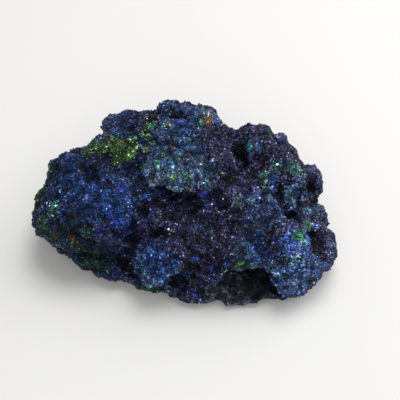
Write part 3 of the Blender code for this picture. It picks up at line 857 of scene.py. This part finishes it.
def mineral_material(name, roughness, ior, bump, grain):
    """Reads the colour at each vertex. Noise with the given grain per metre varies the polish
    between two roughnesses and, by the share bump, roughens the faces."""
    material, shader = new_material(name)
    nodes = material.node_tree.nodes
    link = material.node_tree.links.new
    fill(shader, {"IOR": ior, "Specular IOR Level": MINERAL_GLOSS})
    tint = nodes.new("ShaderNodeAttribute")
    tint.attribute_name = "tint"
    link(tint.outputs["Color"], shader.inputs["Base Color"])
    place = nodes.new("ShaderNodeTexCoord")
    noise = nodes.new("ShaderNodeTexNoise")
    fill(noise, {"Scale": grain, "Detail": NOISE_DETAIL})
    link(place.outputs["Object"], noise.inputs["Vector"])
    polish = nodes.new("ShaderNodeMapRange")
    fill(polish, dict(zip(("From Min", "From Max", "To Min", "To Max"), NOISE_SPAN + roughness)))
    link(noise.outputs["Fac"], polish.inputs["Value"])
    link(polish.outputs["Result"], shader.inputs["Roughness"])
    relief = nodes.new("ShaderNodeBump")
    fill(relief, {"Strength": bump, "Distance": BUMP_DEPTH})
    link(noise.outputs["Fac"], relief.inputs["Height"])
    link(relief.outputs["Normal"], shader.inputs["Normal"])
    return material


# ---- operators


def evenly_faced(voxel):
    """The solid's surface as a new mesh with faces of the given size."""
    bm = bmesh.new()
    bm.from_mesh(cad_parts[SOLID].data)
    bmesh.ops.remove_doubles(bm, verts=bm.verts, dist=WELD)
    mesh = bpy.data.meshes.new(SKIN)
    bm.to_mesh(mesh)
    bm.free()
    shell = new_object(SKIN + "_shell", mesh)
    remesh = shell.modifiers.new("even_faces", "REMESH")
    remesh.mode = "VOXEL"
    remesh.voxel_size = voxel
    graph = bpy.context.evaluated_depsgraph_get()
    mesh = bpy.data.meshes.new_from_object(shell.evaluated_get(graph))
    bpy.data.objects.remove(shell)
    mesh.name = SKIN
    return mesh


class AZURITE_OT_skin(bpy.types.Operator):
    """Makes the specimen's surface again as a fine skin of nodules and beads"""

    bl_idname = "azurite.skin"
    bl_label = "Skin"

    def execute(self, context):
        sizes = context.scene.azurite_sizes
        seed = sizes.seed
        mesh = evenly_faced(sizes.skin_cell)
        place_vertices(mesh, smoothed(mesh, vectors(mesh.vertices, "co"), SKIN_ROUNDS))
        soft = vectors(mesh.vertices, "co")
        out = vectors(mesh.vertices, "normal")
        mm = soft / MM
        rise = sizes.nodule_rise * domes(mm, sizes.nodule / MM, seed)
        rise += sizes.bead_rise * domes(mm, sizes.bead / MM, seed + 10)
        rise += CHAFE_RISE * swells(mm, CHAFE_WAVE, seed + 20)
        rise *= knobbliness(mesh, mm, seed)
        points = in_box(soft + out * (rise - sizes.skin_inset)[:, None])
        place_vertices(mesh, points)

        # How deep each vertex lies in a hollow, from 0 on a hump to 1 in a crease; the painted
        # shade follows it.
        out = vectors(mesh.vertices, "normal")
        sunk = np.einsum("ij,ij->i", smoothed(mesh, points, HOLLOW_ROUNDS) - points, out)
        hollow = np.clip(HOLLOW_LEVEL + sunk / HOLLOW_DEPTH, 0, 1)
        tints, _ = mineral_tints(points, hollow, np.random.default_rng(seed), seed)
        paint(mesh, UNDER_DRUSE * tints)
        deep = mesh.attributes.new("hollow", "FLOAT", "POINT")
        deep.data.foreach_set("value", hollow.astype(np.float32))
        rock = mineral_material("azurite_rock", (0.5, 0.85), ior=1.4, bump=0.4, grain=2500)
        skin = add_piece(SKIN, mesh, rock)
        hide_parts(SOLID)
        return {"FINISHED"}


def skin_seats(seed):
    """For each face of the skin: its middle, its outward normal, the colour of its mineral, the
    number of its mix, and whether anything may grow there."""
    mesh = bpy.data.objects[SKIN].data
    feet = vectors(mesh.polygons, "center")
    out = vectors(mesh.polygons, "normal")
    first = read(mesh.polygons, "loop_start", dtype=np.int32)[:, 0]
    corner = read(mesh.loops, "vertex_index", dtype=np.int32)[first, 0]
    hollow = read(mesh.attributes["hollow"].data, "value")[corner, 0]
    tints, mix = mineral_tints(feet, hollow, np.random.default_rng(seed + 5), seed)
    return feet, out, tints, mix, out[:, 2] > UNDERSIDE


# A crystal's points, as shares of its length, its width and its height.
WEDGE = (
    (-0.5, -0.5, 0), (0.5, -0.5, 0), (0.5, 0.5, 0), (-0.5, 0.5, 0), (-0.5, 0, 1), (0.5, 0, 1))
WEDGE_TRIANGLES = np.array(
    ((0, 2, 1), (0, 3, 2), (0, 1, 5), (0, 5, 4), (2, 3, 4), (2, 4, 5), (1, 2, 5), (3, 0, 4)))


def wedges(feet, axis, length, width, height, ridge, rng):
    """The points of wedge-shaped crystals, each of which closes with WEDGE_TRIANGLES.

    A rectangle of length by width lies CRYSTAL_SINK of the height under the skin, and a ridge
    along its middle, whose length is the ridge share of it, stands at the height above.
    """
    along, across = side_axes(axis, any_turn(len(feet), rng))
    corners = []
    for a, b, top in WEDGE:
        reach = length * a * (ridge if top else 1)
        lift = height if top else -CRYSTAL_SINK * height
        corners.append(
            feet + along * reach[:, None] + across * (b * width)[:, None] + axis * lift[:, None])
    return np.stack(corners, axis=1)


class AZURITE_OT_druse(bpy.types.Operator):
    """Grows wedge-shaped azurite crystals, one on each free face of the skin"""

    bl_idname = "azurite.druse"
    bl_label = "Druse"

    def execute(self, context):
        sizes = context.scene.azurite_sizes
        rng = np.random.default_rng(sizes.seed + 1)
        feet, out, tints, mix, free = skin_seats(sizes.seed)
        size = np.exp(CRYSTAL_SPREAD * rng.standard_normal(len(feet)))
        size[tints.mean(axis=1) > PALE] *= PALE_SIZE
        length = sizes.crystal_length * size
        width = length * rng.uniform(*CRYSTAL_WIDTHS, len(feet))
        height = sizes.crystal_height * size * rng.uniform(*CRYSTAL_HEIGHTS, len(feet))
        axis = leaning(out, sizes.crystal_lean, rng)
        ridge = rng.uniform(*CRYSTAL_RIDGES, len(feet))
        chosen = np.flatnonzero(free & ~of_mixes(mix, GRAINY + SMOOTH))
        chosen = chosen[np.argsort(feet[chosen, 0], kind="stable")]
        glassy = mineral_material("azurite_crystal", (0.05, 0.28), ior=1.55, bump=0.1, grain=3000)
        for number, part in enumerate(np.array_split(chosen, sizes.druse_pieces)):
            name = f"azurite_druse_{number + 1}"
            crystals = wedges(
                feet[part], axis[part], length[part], width[part], height[part], ridge[part],
                rng)
            mesh = copies_mesh(name, crystals, WEDGE_TRIANGLES, tints[part])
            add_piece(name, mesh, glassy)
        return {"FINISHED"}


def ball():
    """The points and triangles of a many-sided ball, one across."""
    bm = bmesh.new()
    bmesh.ops.create_icosphere(bm, subdivisions=1, radius=0.5)
    points = np.array([v.co for v in bm.verts])
    triangles = np.array([[v.index for v in f.verts] for f in bm.faces])
    bm.free()
    return points, triangles


class AZURITE_OT_crusts(bpy.types.Operator):
    """Strews rounded grains of malachite, powdery azurite and rust on their patches"""

    bl_idname = "azurite.crusts"
    bl_label = "Crusts"

    def execute(self, context):
        sizes = context.scene.azurite_sizes
        rng = np.random.default_rng(sizes.seed + 1)
        feet, out, tints, mix, free = skin_seats(sizes.seed)
        chosen = np.flatnonzero(free & of_mixes(mix, GRAINY))
        size = np.exp(GRAIN_SPREAD * rng.standard_normal(len(chosen)))
        size = sizes.grain * np.clip(size, *GRAIN_SIZES)
        size[tints[chosen].mean(axis=1) > PALE] *= PALE_SIZE
        axis = leaning(out[chosen], GRAIN_LEAN, rng)
        u, v = side_axes(axis, any_turn(len(chosen), rng))
        squash = rng.uniform(*GRAIN_SQUASH, (len(chosen), 3))
        points, triangles = ball()
        local = points[None] * squash[:, None] * size[:, None, None]
        middle = feet[chosen] + axis * (GRAIN_LIFT * size)[:, None]
        grains = (
            middle[:, None] + local[..., :1] * u[:, None] + local[..., 1:2] * v[:, None]
            + local[..., 2:] * axis[:, None])
        mesh = copies_mesh("malachite_grains", grains, triangles, tints[chosen])
        dull = mineral_material("malachite_crust", (0.35, 0.7), ior=1.7, bump=0.3, grain=4000)
        add_piece("malachite_grains", mesh, dull)
        return {"FINISHED"}


class AZURITE_OT_stage(bpy.types.Operator):
    """Sets the pale floor, the studio light and the camera"""

    bl_idname = "azurite.stage"
    bl_label = "Stage"

    def execute(self, context):
        scene = context.scene
        corners = [(x, y, 0) for x, y in ((-1, -1), (1, -1), (1, 1), (-1, 1))]
        floor_mesh = bpy.data.meshes.new("floor")
        floor_mesh.from_pydata(np.multiply(corners, FLOOR_REACH), [], [(0, 1, 2, 3)])
        floor = new_object("floor", floor_mesh)
        paper, shader = new_material("paper")
        fill(shader, {"Base Color": PAPER, "Roughness": PAPER_ROUGHNESS, "IOR": PAPER_IOR})
        floor_mesh.materials.append(paper)
        for name, light in LIGHTS.items():
            add_light(name, *light)
        world = bpy.data.worlds.new("studio")
        world.use_nodes = True
        background = world.node_tree.nodes["Background"]
        fill(background, {"Color": ROOM_COLOUR, "Strength": ROOM_STRENGTH})
        scene.world = world
        add_camera()
        scene.view_settings.view_transform = "Standard"
        return {"FINISHED"}


def camera_place():
    """The camera's distance from the aim, to the front and up by its height angle."""
    back = Vector((0, -math.cos(CAMERA_HEIGHT_ANGLE), math.sin(CAMERA_HEIGHT_ANGLE)))
    return AIM + back * CAMERA_DISTANCE


def face_aim(thing):
    """Turns a camera or a light, which look down their own -Z, to the aim."""
    thing.rotation_mode = "QUATERNION"
    thing.rotation_quaternion = (AIM - thing.location).to_track_quat("-Z", "Y")


def add_light(name, place, side, power, tint):
    """A square light that faces the aim."""
    light = bpy.data.lights.new(name, "AREA")
    light.size = side
    light.energy = power
    light.color = tint
    lamp = new_object(name, light)
    lamp.location = place
    face_aim(lamp)


def add_camera():
    """The camera, made the scene's own."""
    lens = bpy.data.cameras.new("camera")
    lens.lens = LENS
    lens.sensor_width = SENSOR
    camera = new_object("camera", lens)
    camera.location = camera_place()
    face_aim(camera)
    bpy.context.scene.camera = camera


class AZURITE_PT_panel(bpy.types.Panel):
    """Sizes, colours and steps of the azurite specimen"""

    bl_idname = "AZURITE_PT_panel"
    bl_label = "Azurite specimen"
    bl_space_type = "VIEW_3D"
    bl_region_type = "UI"
    bl_category = "Azurite"

    def draw(self, context):
        for group in (context.scene.azurite_sizes, context.scene.azurite_colours):
            box = self.layout.box()
            for field in group.__annotations__:
                box.prop(group, field)
        for step in STEPS:
            self.layout.operator(step.bl_idname)


STEPS = (AZURITE_OT_skin, AZURITE_OT_druse, AZURITE_OT_crusts, AZURITE_OT_stage)
CLASSES = (AzuriteSizes, AzuriteColours, *STEPS, AZURITE_PT_panel)


def register():
    for each in CLASSES:
        bpy.utils.register_class(each)
    bpy.types.Scene.azurite_sizes = PointerProperty(type=AzuriteSizes)
    bpy.types.Scene.azurite_colours = PointerProperty(type=AzuriteColours)


def unregister():
    del bpy.types.Scene.azurite_colours
    del bpy.types.Scene.azurite_sizes
    for each in reversed(CLASSES):
        bpy.utils.unregister_class(each)


def main():
    register()
    bpy.ops.azurite.skin()
    bpy.ops.azurite.druse()
    bpy.ops.azurite.crusts()
    bpy.ops.azurite.stage()


if __name__ == "__main__":
    main()
